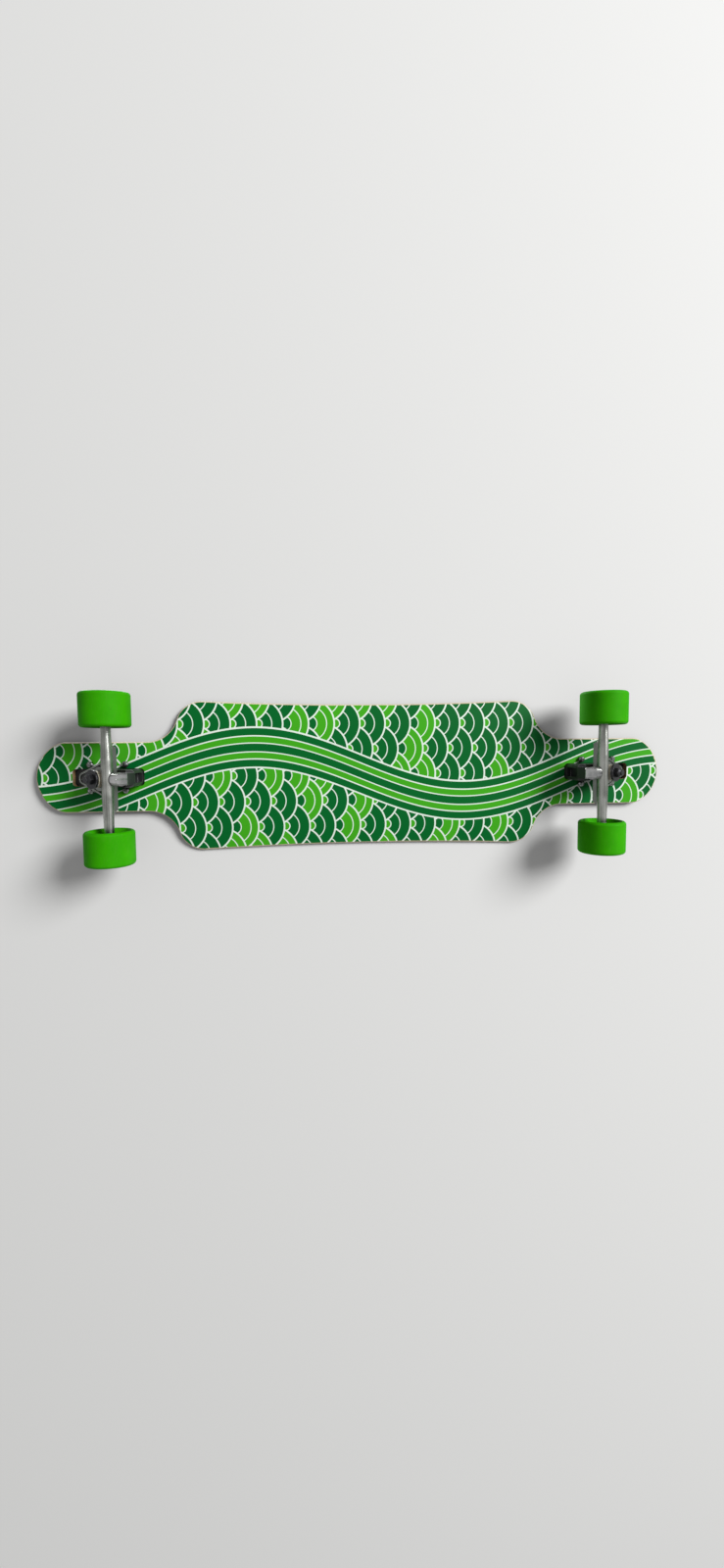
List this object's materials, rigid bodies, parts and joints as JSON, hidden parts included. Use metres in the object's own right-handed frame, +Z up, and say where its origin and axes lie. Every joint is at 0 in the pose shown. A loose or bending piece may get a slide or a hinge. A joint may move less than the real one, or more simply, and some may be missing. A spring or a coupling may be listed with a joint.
{
  "type": "longboard skateboard",
  "caption": "Drop-through longboard: pressed maple deck with printed underside, reverse-kingpin trucks steered by leaning, and soft urethane wheels on ball bearings.",
  "frame": {"origin": "on the ground, midway between the four wheels, with the board standing on them", "axes": "+X along the deck towards its front, +Y to the rider's left across the deck, +Z up"},
  "size_m": [1.03, 0.2576, 0.116],
  "materials": {
    "maple_ply": "satin varnish",
    "printed_veneer": "printed and lacquered",
    "grip_tape": "coarse grit",
    "cast_aluminium": "as cast, tumbled",
    "satin_aluminium": "satin",
    "black_plastic": "moulded",
    "dark_steel": "black oxide",
    "zinc_steel": "zinc plated",
    "bearing_steel": "polished",
    "cage_nylon": "moulded",
    "bushing_urethane": "cast",
    "wheel_urethane": "gloss cast",
    "wheel_core": "moulded"
  },
  "bodies": {
    "board": {"deck_bottom_veneer": "printed_veneer", "deck_core": "maple_ply", "deck_top_veneer": "maple_ply", "front_truck_baseplate": "cast_aluminium", "front_truck_boardside_bushing": "bushing_urethane", "front_truck_cup_washers": "dark_steel", "front_truck_kingpin": "dark_steel", "front_truck_kingpin_nut": "dark_steel", "front_truck_mounting_bolts": "zinc_steel", "front_truck_mounting_nuts": "zinc_steel", "front_truck_pivot_cup": "black_plastic", "front_truck_roadside_bushing": "bushing_urethane", "grip_tape": "grip_tape", "rear_truck_baseplate": "cast_aluminium", "rear_truck_boardside_bushing": "bushing_urethane", "rear_truck_cup_washers": "dark_steel", "rear_truck_kingpin": "dark_steel", "rear_truck_kingpin_nut": "dark_steel", "rear_truck_mounting_bolts": "zinc_steel", "rear_truck_mounting_nuts": "zinc_steel", "rear_truck_pivot_cup": "black_plastic", "rear_truck_roadside_bushing": "bushing_urethane"},
    "front_hanger": {"front_truck_hanger": "satin_aluminium", "front_truck_axle": "zinc_steel", "front_truck_axle_nuts": "zinc_steel", "front_truck_speed_washers": "zinc_steel", "front_truck_bearing_spacers": "zinc_steel", "front_truck_inner_races": "bearing_steel"},
    "front_left_wheel": {"front_left_wheel_tyre": "wheel_urethane", "front_left_wheel_core": "wheel_core", "front_left_wheel_outer_races": "bearing_steel", "front_left_wheel_shields": "bearing_steel"},
    "front_left_ball_set": {"front_left_wheel_balls": "bearing_steel", "front_left_wheel_cages": "cage_nylon"},
    "front_right_wheel": {"front_right_wheel_tyre": "wheel_urethane", "front_right_wheel_core": "wheel_core", "front_right_wheel_outer_races": "bearing_steel", "front_right_wheel_shields": "bearing_steel"},
    "front_right_ball_set": {"front_right_wheel_balls": "bearing_steel", "front_right_wheel_cages": "cage_nylon"},
    "rear_hanger": {"rear_truck_hanger": "satin_aluminium", "rear_truck_axle": "zinc_steel", "rear_truck_axle_nuts": "zinc_steel", "rear_truck_speed_washers": "zinc_steel", "rear_truck_bearing_spacers": "zinc_steel", "rear_truck_inner_races": "bearing_steel"},
    "rear_left_wheel": {"rear_left_wheel_tyre": "wheel_urethane", "rear_left_wheel_core": "wheel_core", "rear_left_wheel_outer_races": "bearing_steel", "rear_left_wheel_shields": "bearing_steel"},
    "rear_left_ball_set": {"rear_left_wheel_balls": "bearing_steel", "rear_left_wheel_cages": "cage_nylon"},
    "rear_right_wheel": {"rear_right_wheel_tyre": "wheel_urethane", "rear_right_wheel_core": "wheel_core", "rear_right_wheel_outer_races": "bearing_steel", "rear_right_wheel_shields": "bearing_steel"},
    "rear_right_ball_set": {"rear_right_wheel_balls": "bearing_steel", "rear_right_wheel_cages": "cage_nylon"}
  },
  "joints": [
    {"name": "front_steer", "type": "hinge", "parent": "board", "child": "front_hanger", "pos_m": [0.39776, 0, 0.05193], "axis": [0.809, 0, 0.5878], "range_deg": [-15, 15], "stiffness_Nm_per_rad": 40, "deforming": ["front_truck_boardside_bushing", "front_truck_roadside_bushing"]},
    {"name": "front_left_wheel_spin", "type": "hinge", "parent": "front_hanger", "child": "front_left_wheel", "pos_m": [0.384, 0, 0.036], "axis": [0, 1, 0], "continuous": true},
    {"name": "front_left_ball_set_spin", "type": "hinge", "parent": "front_hanger", "child": "front_left_ball_set", "pos_m": [0.384, 0, 0.036], "axis": [0, 1, 0], "continuous": true},
    {"name": "front_right_wheel_spin", "type": "hinge", "parent": "front_hanger", "child": "front_right_wheel", "pos_m": [0.384, 0, 0.036], "axis": [0, 1, 0], "continuous": true},
    {"name": "front_right_ball_set_spin", "type": "hinge", "parent": "front_hanger", "child": "front_right_ball_set", "pos_m": [0.384, 0, 0.036], "axis": [0, 1, 0], "continuous": true},
    {"name": "rear_steer", "type": "hinge", "parent": "board", "child": "rear_hanger", "pos_m": [-0.39776, 0, 0.05193], "axis": [-0.809, 0, 0.5878], "range_deg": [-15, 15], "stiffness_Nm_per_rad": 40, "deforming": ["rear_truck_boardside_bushing", "rear_truck_roadside_bushing"]},
    {"name": "rear_left_wheel_spin", "type": "hinge", "parent": "rear_hanger", "child": "rear_left_wheel", "pos_m": [-0.384, 0, 0.036], "axis": [0, 1, 0], "continuous": true},
    {"name": "rear_left_ball_set_spin", "type": "hinge", "parent": "rear_hanger", "child": "rear_left_ball_set", "pos_m": [-0.384, 0, 0.036], "axis": [0, 1, 0], "continuous": true},
    {"name": "rear_right_wheel_spin", "type": "hinge", "parent": "rear_hanger", "child": "rear_right_wheel", "pos_m": [-0.384, 0, 0.036], "axis": [0, 1, 0], "continuous": true},
    {"name": "rear_right_ball_set_spin", "type": "hinge", "parent": "rear_hanger", "child": "rear_right_ball_set", "pos_m": [-0.384, 0, 0.036], "axis": [0, 1, 0], "continuous": true}
  ],
  "couplings": [
    {"joint": "front_left_ball_set_spin", "follows": "front_left_wheel_spin", "ratio": 0.63233},
    {"joint": "front_right_ball_set_spin", "follows": "front_right_wheel_spin", "ratio": 0.63233},
    {"joint": "rear_left_ball_set_spin", "follows": "rear_left_wheel_spin", "ratio": 0.63233},
    {"joint": "rear_right_ball_set_spin", "follows": "rear_right_wheel_spin", "ratio": 0.63233}
  ]
}
